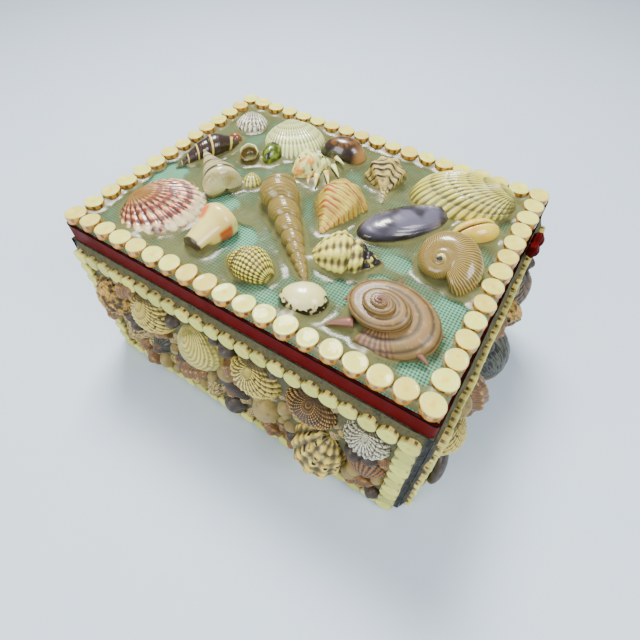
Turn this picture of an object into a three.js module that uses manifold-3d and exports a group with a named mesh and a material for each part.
// A trinket box covered with sea shells, with a lift-off lid.
// Millimetres, +Z up, +X along the long side, the long front face towards -Y.
// The origin is the centre of the flat underside.
import * as THREE from 'three';
import { mergeVertices } from 'three/addons/utils/BufferGeometryUtils.js';
import Module from 'manifold-3d';

const wasm = await Module();
wasm.setup();

// ---- Driving dimensions ----
const GAP = 0.3; // clearance between pieces that touch in the real box
const FINEST = 0.03; // detail smaller than this is merged away
const BOX = { length: 203, depth: 153, height: 92.5, wall: 6, floor: 5 };
const LID = { board: 9.9, inset: 1.5, lip: 3, lipClearance: 1.5, cloth: 0.5 };
const RIBBON = { width: 10.4, thickness: 1.2, cornerRadius: 2.5 };
const KNOT = { along: 43, width: 13, height: 11, depth: 6 };

// Fish-bone discs: the lid's border, then the borders of the four sides
const LID_DISC = { radius: 5.3, height: 4.6, sides: 8, front: 5.6, right: 5.7, back: 5.5, left: 4.6 };
const SHOW_DISC = { radius: 4.5, sides: 6, inset: 7, bottom: 5.6, top: 86 };
const PLAIN_DISC = { radius: 5.8, sides: 6, inset: 7.5, bottom: 7.2, top: 85 };
const DISC_OVERLAP = 0.12; // neighbouring discs of a row just touch

const halfLength = BOX.length / 2;
const halfDepth = BOX.depth / 2;
const boardBottom = BOX.height + GAP;
const boardTop = boardBottom + LID.board;
const clothBottom = boardTop + GAP;
const lidTop = clothBottom + LID.cloth;

// ---- Finishes ----
const finish = (color, roughness, metalness = 0) =>
  new THREE.MeshStandardMaterial({ color, roughness, metalness });
const FINISH = {
  cement: finish(0x9a9878, 0.85),
  board: finish(0x8d7a58, 0.8),
  cloth: finish(0x6fa893, 0.7),
  ribbon: finish(0x8c0715, 0.45),
  bone: finish(0xf0e3b4, 0.5),
  cream: finish(0xe6dcb8, 0.45),
  white: finish(0xf0ead6, 0.35),
  pearl: finish(0xcfc4a0, 0.25, 0.1),
  tan: finish(0xb8935c, 0.35),
  amber: finish(0xc39a50, 0.3),
  brown: finish(0x5c3a22, 0.3),
  speckled: finish(0xa98f6e, 0.5),
  green: finish(0x5c6a24, 0.2),
  coral: finish(0xb3583c, 0.4),
  yellow: finish(0xe6cf77, 0.35),
  pink: finish(0xb58d76, 0.4),
  purple: finish(0x6f6472, 0.25),
  black: finish(0x33302c, 0.4),
};

// ---- Making and joining solids ----

// A closed surface: point(angle, t) carried round an axis, drawn to one point at t = 0 and at t = 1.
function closedSkin(around, stations, point) {
  const positions = [...point(0, 0)];
  for (let row = 1; row < stations; row += 1) {
    for (let k = 0; k < around; k += 1) {
      positions.push(...point((2 * Math.PI * k) / around, row / stations));
    }
  }
  positions.push(...point(0, 1));
  const vertex = (row, k) => 1 + (row - 1) * around + (k % around);
  const last = 1 + (stations - 1) * around;
  const index = [];
  for (let k = 0; k < around; k += 1) {
    index.push(0, vertex(1, k), vertex(1, k + 1));
    for (let row = 1; row < stations - 1; row += 1) {
      index.push(vertex(row, k), vertex(row + 1, k), vertex(row + 1, k + 1));
      index.push(vertex(row, k), vertex(row + 1, k + 1), vertex(row, k + 1));
    }
    index.push(vertex(stations - 1, k), last, vertex(stations - 1, k + 1));
  }
  const geometry = new THREE.BufferGeometry();
  geometry.setAttribute('position', new THREE.Float32BufferAttribute(positions, 3));
  geometry.setIndex(index);
  return geometry;
}

// Turns a closed geometry into a solid whose faces point outwards.
function solid(geometry) {
  const bare = geometry.clone();
  bare.deleteAttribute('normal');
  bare.deleteAttribute('uv');
  const merged = mergeVertices(bare, 1e-4);
  const vertProperties = new Float32Array(merged.attributes.position.array);
  const triVerts = new Uint32Array(merged.index.array);
  const signedVolume = volumeOf(vertProperties, triVerts);
  if (signedVolume < 0) {
    for (let i = 0; i < triVerts.length; i += 3) {
      [triVerts[i], triVerts[i + 1]] = [triVerts[i + 1], triVerts[i]];
    }
  }
  return new wasm.Manifold(new wasm.Mesh({ numProp: 3, vertProperties, triVerts }));
}

function volumeOf(points, triangles) {
  const a = new THREE.Vector3();
  const b = new THREE.Vector3();
  const c = new THREE.Vector3();
  let total = 0;
  for (let i = 0; i < triangles.length; i += 3) {
    a.fromArray(points, 3 * triangles[i]);
    b.fromArray(points, 3 * triangles[i + 1]);
    c.fromArray(points, 3 * triangles[i + 2]);
    total += a.dot(b.cross(c)) / 6;
  }
  return total;
}

function toGeometry(manifold) {
  const mesh = manifold.getMesh();
  const geometry = new THREE.BufferGeometry();
  geometry.setAttribute('position', new THREE.BufferAttribute(new Float32Array(mesh.vertProperties), 3));
  geometry.setIndex(new THREE.BufferAttribute(new Uint32Array(mesh.triVerts), 1));
  const flat = geometry.toNonIndexed();
  flat.computeVertexNormals();
  return flat;
}

const boxSolid = (x, y, z) => solid(new THREE.BoxGeometry(x, y, z));
const join = (solids) => solids.reduce((whole, piece) => whole.add(piece)).asOriginal().simplify(FINEST);

// ---- The faces that shells are cemented to ----
// Each maps a shell's own X and Y onto the face, and its own Z straight out of it.
function face(origin, along, up) {
  const matrix = new THREE.Matrix4();
  matrix.makeBasis(along, up, along.clone().cross(up));
  return matrix.setPosition(origin);
}
const X = new THREE.Vector3(1, 0, 0);
const Y = new THREE.Vector3(0, 1, 0);
const Z = new THREE.Vector3(0, 0, 1);
const FACE = {
  lid: face(new THREE.Vector3(0, 0, lidTop + GAP), X, Y),
  front: face(new THREE.Vector3(0, -halfDepth - GAP, 0), X, Z),
  right: face(new THREE.Vector3(halfLength + GAP, 0, 0), Y, Z),
  back: face(new THREE.Vector3(0, halfDepth + GAP, 0), X.clone().negate(), Z),
  left: face(new THREE.Vector3(-halfLength - GAP, 0, 0), Y.clone().negate(), Z),
};

// ---- Shell forms, each lying on Z = 0 with its long axis along X ----

// Radius along a coiled shell, from its mouth end (t = 0) to its spire (t = 1).
const bulb = (peak, blunt, sharp) => (t) =>
  t < peak ? Math.sin((Math.PI * t) / (2 * peak)) ** blunt : (1 - (t - peak) / (1 - peak)) ** sharp;
const whorled = (profile, whorls, depth) => (t) =>
  profile(t) * (1 - depth * (1 - Math.abs(Math.sin(Math.PI * whorls * t))));

// A slender spire that ends blunt, like a worn tip.
const blunted = (peak, tip) => (t) => {
  const taper = 1 - (1 - tip) * Math.max(0, (t - peak) / (1 - peak));
  const close = Math.min(1, t / peak, (1 - t) / (peak / 2));
  return taper * Math.sin((Math.PI * close) / 2) ** 0.5;
};

// A coiled shell on its side: round sections of changing radius, flattened where they bed down.
// The spire's tip may be lifted off the bed.
function spindle(size, { profile, relief = () => 1, around = 8, stations = 8, lift = 0 }) {
  const [length, width, height] = size;
  const rise = height - width / 2;
  return solid(closedSkin(around, stations, (angle, t) => {
    const share = profile(t);
    const radius = (width / 2) * share * relief(angle, t);
    const z = rise * share + radius * Math.sin(angle) + lift * t ** 2;
    return [length * (t - 0.5), radius * Math.cos(angle), Math.max(0, z)];
  }));
}

// A domed shell, open side down: rays from the apex to an egg-shaped rim, then the flat underside.
function dome(size, { apex = [-0.6, 0], taper = 0.15, ribs = 0, flute = 0.05, around = 10, rings = 3 }) {
  const [length, width, height] = size;
  const count = ribs > 0 ? 2 * ribs : around;
  return solid(closedSkin(count, rings + 1, (angle, t) => {
    const s = Math.min(1, (t * (rings + 1)) / rings);
    if (t === 1) {
      return [0, 0, 0];
    }
    const valley = ribs > 0 && Math.round((angle * ribs) / Math.PI) % 2 === 1;
    const scale = valley ? 1 - flute : 1;
    const rimX = Math.cos(angle) * scale;
    const rimY = Math.sin(angle) * (1 + taper * Math.cos(angle)) * scale;
    const x = apex[0] + (rimX - apex[0]) * s;
    const y = apex[1] + (rimY - apex[1]) * s;
    const reach = Math.min(1, Math.hypot(x, y / (1 + taper * x)) / scale);
    const z = s === 1 ? 0 : height * Math.sqrt(1 - reach ** 2) * scale;
    return [(x * length) / 2, (y * width) / 2, z];
  }));
}

// A flat-coiled shell seen on its spire: stepped whorls round an apex, the rim growing towards the mouth.
function turban(size, { apex = [0, 0], steps, growth = 0.25, around = 14 }) {
  const [length, width, height] = size;
  const last = steps.length;
  return solid(closedSkin(around, last + 1, (angle, t) => {
    const row = Math.round(t * (last + 1));
    if (row === 0) {
      return [(apex[0] * length) / 2, (apex[1] * width) / 2, height];
    }
    if (row > last) {
      return [0, 0, 0];
    }
    const [reach, level] = steps[row - 1];
    const rim = 1 - growth * (1 - angle / (2 * Math.PI));
    const x = apex[0] + (Math.cos(angle) * rim - apex[0]) * reach;
    const y = apex[1] + (Math.sin(angle) * rim - apex[1]) * reach;
    return [(x * length) / 2, (y * width) / 2, height * level];
  }));
}

// A thorn from one point to another, thick at its root.
function thorn(from, to, rootRadius) {
  const start = new THREE.Vector3(...from);
  const end = new THREE.Vector3(...to);
  const direction = end.clone().sub(start);
  const cone = new THREE.ConeGeometry(rootRadius, direction.length(), 5);
  cone.translate(0, direction.length() / 2, 0);
  cone.applyQuaternion(new THREE.Quaternion().setFromUnitVectors(Y, direction.normalize()));
  cone.translate(...from);
  return solid(cone);
}

// Knobs in rows along a shell: `count` round it, `rows` along it.
const knobs = (count, rows, depth) => (angle, t) =>
  1 + depth * Math.cos(count * angle) * Math.sin(Math.PI * rows * t);

const FORM = {
  turret: (size) => spindle(size, { profile: whorled(blunted(0.09, 0.36), 8, 0.12), stations: 16 }),
  mitre: (size) => spindle(size, { profile: whorled(bulb(0.4, 0.6, 0.95), 5, 0.05), stations: 10, lift: 2 }),
  top: (size) => spindle(size, { profile: whorled(bulb(0.125, 0.5, 0.9), 4, 0.1), around: 10, lift: 8 }),
  cone: (size) => spindle(size, { profile: blunted(0.3, 0.68), around: 10, stations: 7 }),
  nutmeg: (size) => spindle(size, { profile: whorled(bulb(0.42, 0.6, 1.1), 3, 0.05), around: 10, lift: 4 }),
  drupe: (size) => spindle(size, {
    profile: whorled(bulb(0.4, 0.6, 0.9), 4, 0.06), relief: knobs(5, 4, 0.08), around: 10,
  }),
  murex: (size) => spindle(size, {
    profile: bulb(0.55, 1.6, 0.9), relief: knobs(5, 3, 0.2), around: 10, stations: 9,
  }),
  whelk: (size) => spindle(size, { profile: whorled(bulb(0.35, 0.8, 0.9), 4, 0.08) }),
  cockle: (size) => dome(size, { ribs: 8, flute: 0.05 }),
  scallop: (size) => dome(size, { apex: [-0.82, 0], ribs: 9, flute: 0.06, taper: 0.28 }),
  clam: (size) => dome(size, { apex: [-0.5, 0], around: 11 }),
  mussel: (size) => dome(size, { apex: [0.3, 0.15], taper: -0.45, around: 12 }),
  limpet: (size) => dome(size, { apex: [0, 0], taper: 0, ribs: 6, flute: 0.08, rings: 2 }),
  cowrie: (size) => dome(size, { apex: [0, 0], taper: -0.12, around: 10 }),
  moon: (size) => dome(size, { apex: [0.1, -0.45], taper: 0.05, around: 12, rings: 4 }),
  cup: (size) => {
    const [length, width, height] = size;
    const profile = [[0, 0], [0.36, 0], [0.5, 0.55], [0.47, 1], [0.36, 1], [0.2, 0.55], [0, 0.5]];
    const points = profile.map(([r, z]) => new THREE.Vector2(r * length, z * height));
    const lathe = new THREE.LatheGeometry(points, 10).rotateX(Math.PI / 2);
    lathe.scale(1, width / length, 1);
    return solid(lathe);
  },
  // Its thorns stand round the rim, each running out from under the body whorl
  delphinula: (size) => {
    const [length, width, height] = size;
    const steps = [[0.18, 0.97], [0.24, 0.83], [0.48, 0.8], [0.56, 0.6], [0.85, 0.5], [1, 0.22], [0.9, 0]];
    const body = turban(size, { apex: [-0.28, 0.05], steps, growth: 0.22 });
    const thorns = [-35, 6, 50, 88, 198].map((degrees) => {
      const angle = THREE.MathUtils.degToRad(degrees);
      const at = (reach, level) => [
        (Math.cos(angle) * reach * length) / 2,
        (Math.sin(angle) * reach * width) / 2,
        height * level,
      ];
      return thorn(at(0.6, 0.24), at(1.3, 0.08), 2.2);
    });
    return join([body, ...thorns]);
  },
};

// ---- Which shell lies where ----
// [node, form, face, centre along and up the face, turn in degrees, length, width, height, finish]
// A shell listed earlier keeps its whole form; a later one is cut to fit under its neighbours.
const SHELLS = [
  ['lid_turret_tan', 'turret', 'lid', [0.5, -23], -43, [68, 21, 19], 'amber'],
  ['lid_delphinula_pink', 'delphinula', 'lid', [66, -49], 12, [35, 30, 18], 'pink'],
  ['lid_moon_tan', 'moon', 'lid', [75, -4], 12, [31, 27, 17], 'tan'],
  ['lid_scallop_coral', 'scallop', 'lid', [-66, -42.5], 12, [46, 46, 9], 'coral'],
  ['lid_cone_orange', 'cone', 'lid', [-31, -44.5], -93, [26, 20, 16], 'white'],
  ['lid_nutmeg_check', 'nutmeg', 'lid', [-3, -52], 176, [27, 18, 14], 'speckled'],
  ['lid_cowrie_white', 'cowrie', 'lid', [29.5, -54.2], 22, [21.5, 16, 9.5], 'white'],
  ['lid_drupe_cream', 'drupe', 'lid', [32.5, -22.5], 27, [36, 22, 15], 'cream'],
  ['lid_murex_orange', 'murex', 'lid', [9.5, 3.5], 96, [37, 26, 14], 'amber'],
  ['lid_mussel_purple', 'mussel', 'lid', [46, 14.5], 52, [50, 19, 9], 'purple'],
  ['lid_cowrie_yellow', 'cowrie', 'lid', [77.5, 26.5], 46, [26, 15, 9], 'yellow'],
  ['lid_murex_brown', 'murex', 'lid', [19.5, 40], -66, [37, 20, 14], 'speckled'],
  ['lid_cowrie_brown', 'cowrie', 'lid', [-11.5, 49.5], 17, [28, 18, 13], 'brown'],
  ['lid_drupe_white', 'drupe', 'lid', [-18, 29], 62, [30, 19, 13], 'white'],
  ['lid_nerite_green', 'cowrie', 'lid', [-46.8, 26.3], 100, [18, 12.5, 9], 'green'],
  ['lid_cup_brown', 'cup', 'lid', [-55.7, 17.7], 0, [12, 13, 9], 'cream'],
  ['lid_top_pearl', 'top', 'lid', [-60, -6.5], 152, [35, 23, 15], 'pearl'],
  ['lid_mitre_brown', 'mitre', 'lid', [-79.5, 7.5], 249, [42, 14, 12], 'brown'],
  ['lid_cockle_white', 'cockle', 'lid', [-44, 46], -45, [41, 39, 11], 'cream'],
  ['lid_cockle_cream', 'cockle', 'lid', [62.5, 46], 202, [58, 38, 17], 'cream'],
  ['lid_cockle_speckled', 'cockle', 'lid', [-79, 49], -60, [23, 21, 7], 'speckled'],
  ['lid_periwinkle_orange', 'cowrie', 'lid', [-75, 28], 60, [9, 7.5, 6], 'tan'],
  ['lid_cockle_beige', 'cockle', 'lid', [-41, 0], -60, [13, 11, 6], 'cream'],

  ['front_murex_cream', 'drupe', 'front', [54.5, 32], 250, [39, 31, 19], 'cream'],
  ['front_cockle_bumpy', 'cockle', 'front', [-81, 63.5], -80, [30, 26, 12], 'speckled'],
  ['front_cockle_ribbed', 'cockle', 'front', [-49.5, 69], -85, [28, 29, 12], 'cream'],
  ['front_clam_smooth', 'clam', 'front', [-17, 63], -80, [32, 30, 13], 'cream'],
  ['front_cockle_freckled', 'cockle', 'front', [18, 67], -90, [27, 30, 12], 'cream'],
  ['front_cockle_brown', 'cockle', 'front', [49.7, 69.5], -95, [24, 28, 11], 'speckled'],
  ['front_cockle_speckled', 'cockle', 'front', [77.5, 69.5], -90, [24.5, 23, 10], 'cream'],
  ['front_limpet_black', 'limpet', 'front', [-53, 39], 0, [20, 21, 9], 'black'],
  ['front_nutmeg_ridged', 'nutmeg', 'front', [-35.5, 28.5], 195, [33, 18, 11], 'tan'],
  ['front_limpet_bumpy', 'limpet', 'front', [-17.5, 18.5], 0, [15, 18, 8], 'speckled'],
  ['front_mussel_purple', 'mussel', 'front', [-1, 40.5], 150, [25, 12.5, 7], 'purple'],
  ['front_snail_purple', 'nutmeg', 'front', [0, 17.5], 60, [19, 15, 9], 'purple'],
  ['front_moon_beige', 'moon', 'front', [21.5, 35.5], 80, [23, 18, 10], 'tan'],
  ['front_scallop_golden', 'scallop', 'front', [79.5, 41.5], 95, [21.5, 22, 8], 'amber'],
  ['front_limpets_pale', 'clam', 'front', [-79, 28], 10, [24, 16, 8], 'cream'],

  ['right_whelk_tan', 'whelk', 'right', [-33, 60], 262, [36, 22, 15], 'tan'],
  ['right_mussel_black', 'mussel', 'right', [0, 58], 78, [40, 20, 16], 'black'],
  ['right_cockle_cream', 'cockle', 'right', [-54, 62], -80, [33, 24, 12], 'cream'],
  ['right_snail_twisted', 'whelk', 'right', [21, 65], 200, [25, 16, 14], 'speckled'],
  ['right_cockle_purple', 'cockle', 'right', [46, 63], -90, [30, 29, 12], 'purple'],
  ['right_snail_brown', 'nutmeg', 'right', [-54, 32], 40, [28, 22, 12], 'brown'],
];

// Rows of touching shells on the plainer parts: two rows of domes on the back and left sides,
// one low row on the right. Every neighbouring pair overlaps a little where the shells touch.
const CLUSTERS = [
  {
    node: 'back_shells', side: 'back', finish: 'cream', height: 11,
    rows: [{ up: 63, from: -72, to: 72, count: 6, size: 31 }, { up: 30, from: -74, to: 74, count: 7, size: 35 }],
  },
  {
    node: 'left_shells', side: 'left', finish: 'speckled', height: 11,
    rows: [{ up: 63, from: -48, to: 48, count: 4, size: 34 }, { up: 30, from: -50, to: 50, count: 5, size: 34 }],
  },
  {
    node: 'right_low_shells', side: 'right', finish: 'cream', height: 11,
    rows: [{ up: 28, from: -24, to: 50, count: 4, size: 28 }],
  },
];

// ---- Carcass and lid ----

// An open tray: four walls and a bottom
function carcass() {
  const outer = boxSolid(BOX.length, BOX.depth, BOX.height).translate([0, 0, BOX.height / 2]);
  const inside = boxSolid(BOX.length - 2 * BOX.wall, BOX.depth - 2 * BOX.wall, BOX.height);
  return outer.subtract(inside.translate([0, 0, BOX.floor + BOX.height / 2]));
}

// A slab that fits inside the ribbon, standing on Z = 0
function lidSlab(thickness) {
  const outline = new THREE.Shape(roundedRectangle(
    BOX.length - 2 * LID.inset,
    BOX.depth - 2 * LID.inset,
    RIBBON.cornerRadius - LID.inset,
  ).getPoints(1));
  return solid(new THREE.ExtrudeGeometry(outline, { depth: thickness, bevelEnabled: false }));
}

// The lid's board, with a shallow lip that drops between the walls
function lidBoard() {
  const board = lidSlab(LID.board).translate([0, 0, boardBottom]);
  const inset = 2 * (BOX.wall + LID.lipClearance);
  const lip = boxSolid(BOX.length - inset, BOX.depth - inset, LID.lip + 1);
  return board.add(lip.translate([0, 0, boardBottom + (1 - LID.lip) / 2]));
}

function roundedRectangle(length, depth, radius) {
  const x = length / 2 - radius;
  const y = depth / 2 - radius;
  const path = new THREE.Path();
  path.absarc(x, y, radius, 0, Math.PI / 2);
  path.absarc(-x, y, radius, Math.PI / 2, Math.PI);
  path.absarc(-x, -y, radius, Math.PI, 1.5 * Math.PI);
  path.absarc(x, -y, radius, 1.5 * Math.PI, 2 * Math.PI);
  return path;
}

// The satin ribbon, a thin band round the lid's edge
function ribbonBand() {
  const { thickness, width, cornerRadius } = RIBBON;
  const outline = new THREE.Shape(roundedRectangle(BOX.length, BOX.depth, cornerRadius).getPoints(1));
  const inner = roundedRectangle(
    BOX.length - 2 * thickness,
    BOX.depth - 2 * thickness,
    cornerRadius - thickness,
  );
  outline.holes.push(inner);
  const band = new THREE.ExtrudeGeometry(outline, { depth: width, bevelEnabled: false, curveSegments: 1 });
  return solid(band).translate([0, 0, lidTop - width]);
}

// The ribbon's knot on the right side: a flattened ball with four folds
function ribbonKnot() {
  const folds = 4;
  const knot = dome([KNOT.width, KNOT.height, KNOT.depth], {
    apex: [0, 0], taper: 0, ribs: folds, flute: 0.2, rings: 2,
  });
  const placing = new THREE.Matrix4().makeTranslation(KNOT.along, lidTop - RIBBON.width / 2, 0);
  return knot.transform(placing.premultiply(FACE.right).toArray());
}

// ---- Disc borders ----

// One disc, its axis along Z, its base on Z = 0, with a flat towards each neighbour
function disc({ radius, height, sides }, x, y, turn) {
  const corners = Array.from({ length: sides }, (_, i) => {
    const angle = turn + ((2 * i + 1) * Math.PI) / sides;
    return new THREE.Vector2(x + radius * Math.cos(angle), y + radius * Math.sin(angle));
  });
  return solid(new THREE.ExtrudeGeometry(new THREE.Shape(corners), { depth: height, bevelEnabled: false }));
}

// Discs in a straight row from one centre to another, both ends included.
// A spare makes each one larger all round, for cutting other pieces clear of them.
function discRow(style, from, to, count, spare) {
  const step = new THREE.Vector2().subVectors(to, from).divideScalar(count - 1);
  const acrossFlats = step.length() + DISC_OVERLAP + 2 * spare;
  const radius = acrossFlats / 2 / Math.cos(Math.PI / style.sides);
  const height = style.height + spare;
  return Array.from({ length: count }, (_, i) =>
    disc({ ...style, radius, height }, from.x + i * step.x, from.y + i * step.y, step.angle()));
}

const point = (x, y) => new THREE.Vector2(x, y);

// Rows along the front and back, with the side columns filling the space between them
function lidBorder(spare = 0) {
  const [left, right] = [-halfLength + LID_DISC.left, halfLength - LID_DISC.right];
  const [front, back] = [-halfDepth + LID_DISC.front, halfDepth - LID_DISC.back];
  const across = Math.round((right - left) / (2 * LID_DISC.radius));
  const rowHalf = ((right - left) / across + DISC_OVERLAP) / 2;
  const between = back - front - 2 * (rowHalf + GAP);
  const deep = Math.round(between / (2 * LID_DISC.radius));
  const end = rowHalf + GAP + (between / deep + DISC_OVERLAP) / 2;
  return {
    front: discRow(LID_DISC, point(left, front), point(right, front), across + 1, spare),
    back: discRow(LID_DISC, point(left, back), point(right, back), across + 1, spare),
    right: discRow(LID_DISC, point(right, front + end), point(right, back - end), deep, spare),
    left: discRow(LID_DISC, point(left, front + end), point(left, back - end), deep, spare),
  };
}

// The ring of discs round one side of the box, joined into one chain
function sideBorder(style, half, height, spare = 0) {
  const { bottom, top, inset, radius } = style;
  const reach = half - inset;
  const across = Math.round(reach / radius) + 1;
  const up = Math.round((top - bottom) / (2 * radius));
  const step = (top - bottom) / up;
  const sized = { ...style, height };
  return [
    ...discRow(sized, point(-reach, bottom), point(reach, bottom), across, spare),
    ...discRow(sized, point(-reach, top), point(reach, top), across, spare),
    ...discRow(sized, point(-reach, bottom + step), point(-reach, top - step), up - 1, spare),
    ...discRow(sized, point(reach, bottom + step), point(reach, top - step), up - 1, spare),
  ];
}

// ---- Placing shells ----

function placed(shape, side, [along, up], degrees) {
  const placing = new THREE.Matrix4().makeTranslation(along, up, 0);
  placing.multiply(new THREE.Matrix4().makeRotationZ(THREE.MathUtils.degToRad(degrees)));
  return shape.transform(placing.premultiply(FACE[side]).toArray());
}

// The same solid grown by the clearance on every side, for cutting its neighbours clear of it
function grown(shape) {
  const { min, max } = shape.boundingBox();
  const middle = min.map((low, i) => (low + max[i]) / 2);
  const factor = min.map((low, i) => 1 + (3 * GAP) / (max[i] - low));
  const back = middle.map((value, i) => value * (1 - factor[i]));
  return shape.scale(factor).translate(back);
}

function apart(a, b) {
  const [p, q] = [a.boundingBox(), b.boundingBox()];
  return p.min.some((low, i) => low > q.max[i] || q.min[i] > p.max[i]);
}

// Cuts a shape clear of the solids already placed and keeps its largest piece.
function cutClear(shape, others) {
  let rest = shape;
  for (const other of others) {
    if (!apart(rest, other)) {
      rest = rest.subtract(other);
    }
  }
  return rest.decompose().sort((a, b) => b.volume() - a.volume())[0];
}

// Rows of domed shells that touch, on one of the plainer sides
function clusterSolid({ side, rows, height }) {
  const shells = rows.flatMap(({ up, from, to, count, size }, row) =>
    Array.from({ length: count }, (_, i) => {
      const along = from + (i * (to - from)) / (count - 1);
      const tall = (i + row) % 2 === 0 ? height : height * 0.85;
      const form = (extent) => dome(extent, (i + row) % 3 === 2 ? { around: 9, rings: 2 } : { ribs: 5, rings: 2 });
      return placed(form([size * 1.04, size, tall]), side, [along, up], (i % 2 ? -80 : -100) + 180 * row);
    }));
  return join(shells);
}

// ---- The object ----

const box = new THREE.Group();
const clearances = [];

function addNode(name, manifold, material) {
  const mesh = new THREE.Mesh(toGeometry(manifold), material);
  mesh.name = name;
  box.add(mesh);
}

addNode('carcass', carcass(), FINISH.cement);
addNode('lid_board', lidBoard(), FINISH.board);
addNode('lid_cloth', lidSlab(LID.cloth).translate([0, 0, clothBottom]), FINISH.cloth);
addNode('lid_ribbon', ribbonBand(), FINISH.ribbon);
addNode('ribbon_knot', ribbonKnot(), FINISH.ribbon);

const borderOn = (side, discs) => join(discs).transform(FACE[side].toArray());

const cleared = lidBorder(GAP);
for (const [edge, discs] of Object.entries(lidBorder())) {
  addNode(`lid_discs_${edge}`, borderOn('lid', discs), FINISH.bone);
  clearances.push(borderOn('lid', cleared[edge]));
}

const SIDES = {
  front: [SHOW_DISC, halfLength, 3.7],
  right: [SHOW_DISC, halfDepth, 4.8],
  back: [PLAIN_DISC, halfLength, 3.7],
  left: [PLAIN_DISC, halfDepth, 4.8],
};
for (const [side, [style, half, height]] of Object.entries(SIDES)) {
  addNode(`${side}_discs`, borderOn(side, sideBorder(style, half, height)), FINISH.bone);
  clearances.push(borderOn(side, sideBorder(style, half, height, GAP)));
}

for (const [name, form, side, centre, degrees, size, colour] of SHELLS) {
  const shape = cutClear(placed(FORM[form](size), side, centre, degrees), clearances);
  clearances.push(grown(shape));
  addNode(name, shape, FINISH[colour]);
}

for (const cluster of CLUSTERS) {
  addNode(cluster.node, cutClear(clusterSolid(cluster), clearances), FINISH[cluster.finish]);
}

export default box;
